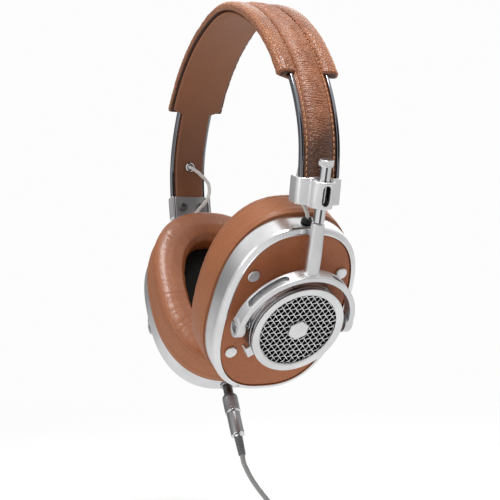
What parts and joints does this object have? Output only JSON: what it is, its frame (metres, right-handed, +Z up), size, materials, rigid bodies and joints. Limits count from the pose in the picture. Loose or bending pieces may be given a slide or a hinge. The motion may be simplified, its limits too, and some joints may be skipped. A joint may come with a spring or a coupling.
{
  "type": "over-ear headphones",
  "caption": "Over-ear headphones: padded leather band on steel rails, sliding posts with forked yokes, tilting metal cups with mesh drums, soft ear cushions and a plug-in cable.",
  "frame": {"origin": "middle of the headband lining's underside, where the headphones hang on a stand", "axes": "+Z up, +X towards the wearer's right-hand cup, +Y the way the wearer faces"},
  "size_m": [0.2009, 0.0739, 0.2627],
  "materials": {
    "satin_aluminium": "fine bead-blasted satin with bright machined edges",
    "polished_steel": "polished",
    "rail_steel": "polished spring steel bar",
    "mesh_steel": "woven wire over black cloth",
    "grey_plate": "bead-blasted grey",
    "plug_metal": "satin grey plating",
    "band_leather": "pebbled tan cowhide, edge stitched",
    "lining_leather": "smooth darker brown lining",
    "face_leather": "smooth fine-grained tan",
    "pad_leather": "soft lambskin with low sheen",
    "black_cloth": "open black cloth",
    "black_plastic": "matte",
    "link_cable": "smooth pale sleeve",
    "braided_cable": "woven light grey braid"
  },
  "bodies": {
    "headband": {"headband_lining": "lining_leather", "headband_centre_cover": "band_leather", "rail_front": "rail_steel", "side_roll_front": "band_leather", "rail_rear": "rail_steel", "side_roll_rear": "band_leather", "bracket_right": "satin_aluminium", "clamp_plate_right": "grey_plate", "clamp_screw_right_front": "polished_steel", "clamp_screw_right_rear": "polished_steel", "cable_eyelet_right": "polished_steel", "link_cable_right": "link_cable", "bracket_left": "satin_aluminium", "clamp_plate_left": "grey_plate", "clamp_screw_left_front": "polished_steel", "clamp_screw_left_rear": "polished_steel", "cable_eyelet_left": "polished_steel", "link_cable_left": "link_cable"},
    "mute_button": {"mute_button_right": "satin_aluminium"},
    "plug": {"plug_left": "plug_metal", "cable_left": "braided_cable"},
    "post_right": {"post_right": "polished_steel", "post_cap_right": "polished_steel"},
    "yoke_right": {"yoke_right": "satin_aluminium"},
    "cup_right": {"cup_frame_right": "satin_aluminium", "face_plate_right": "face_leather", "face_stud_right_front_upper": "satin_aluminium", "face_stud_right_rear_upper": "satin_aluminium", "face_stud_right_front_lower": "satin_aluminium", "face_stud_right_rear_lower": "satin_aluminium", "drum_right": "satin_aluminium", "pivot_screw_right_front": "polished_steel", "pivot_screw_right_rear": "polished_steel", "bezel_right": "satin_aluminium", "grille_right": "mesh_steel", "badge_right": "satin_aluminium", "driver_right": "black_plastic", "baffle_right": "black_cloth", "ear_pad_right": "pad_leather", "cable_grommet_right": "black_plastic"},
    "post_left": {"post_left": "polished_steel", "post_cap_left": "polished_steel"},
    "yoke_left": {"yoke_left": "satin_aluminium"},
    "cup_left": {"cup_frame_left": "satin_aluminium", "face_plate_left": "face_leather", "face_stud_left_front_upper": "satin_aluminium", "face_stud_left_rear_upper": "satin_aluminium", "face_stud_left_front_lower": "satin_aluminium", "face_stud_left_rear_lower": "satin_aluminium", "drum_left": "satin_aluminium", "pivot_screw_left_front": "polished_steel", "pivot_screw_left_rear": "polished_steel", "bezel_left": "satin_aluminium", "grille_left": "mesh_steel", "badge_left": "satin_aluminium", "driver_left": "black_plastic", "baffle_left": "black_cloth", "ear_pad_left": "pad_leather", "cable_grommet_left": "black_plastic", "jack_socket_left": "plug_metal"}
  },
  "joints": [
    {"name": "post_slide_right", "type": "slide", "parent": "headband", "child": "post_right", "axis": [-0.3128, 0, -0.9498], "range_m": [-0.004, 0.005], "deforming": ["link_cable_right"]},
    {"name": "yoke_swivel_right", "type": "hinge", "parent": "post_right", "child": "yoke_right", "pos_m": [0.08495, 0, -0.12], "axis": [0.3128, 0, 0.9498], "range_deg": [-16, 84]},
    {"name": "cup_tilt_right", "type": "hinge", "parent": "yoke_right", "child": "cup_right", "pos_m": [0.06043, -0.00132, -0.15422], "axis": [-0.0993, 0.9945, 0.0327], "range_deg": [-24, 0.8]},
    {"name": "post_slide_left", "type": "slide", "parent": "headband", "child": "post_left", "axis": [0.3128, 0, -0.9498], "range_m": [-0.0068, 0.0022], "deforming": ["link_cable_left"]},
    {"name": "yoke_swivel_left", "type": "hinge", "parent": "post_left", "child": "yoke_left", "pos_m": [-0.08407, 0, -0.12266], "axis": [0.3128, 0, -0.9498], "range_deg": [-12, 88]},
    {"name": "cup_tilt_left", "type": "hinge", "parent": "yoke_left", "child": "cup_left", "pos_m": [-0.0595, -0.00044, -0.15686], "axis": [-0.0331, -0.9994, -0.0109], "range_deg": [-22, 2.6]},
    {"name": "mute_press_right", "type": "slide", "parent": "cup_right", "child": "mute_button", "axis": [0.2214, 0.8597, 0.4603], "range_m": [0, 0.0012]},
    {"name": "plug_pull_left", "type": "slide", "parent": "cup_left", "child": "plug", "axis": [0.5508, -0.0092, -0.8346], "range_m": [0, 0.015]}
  ]
}
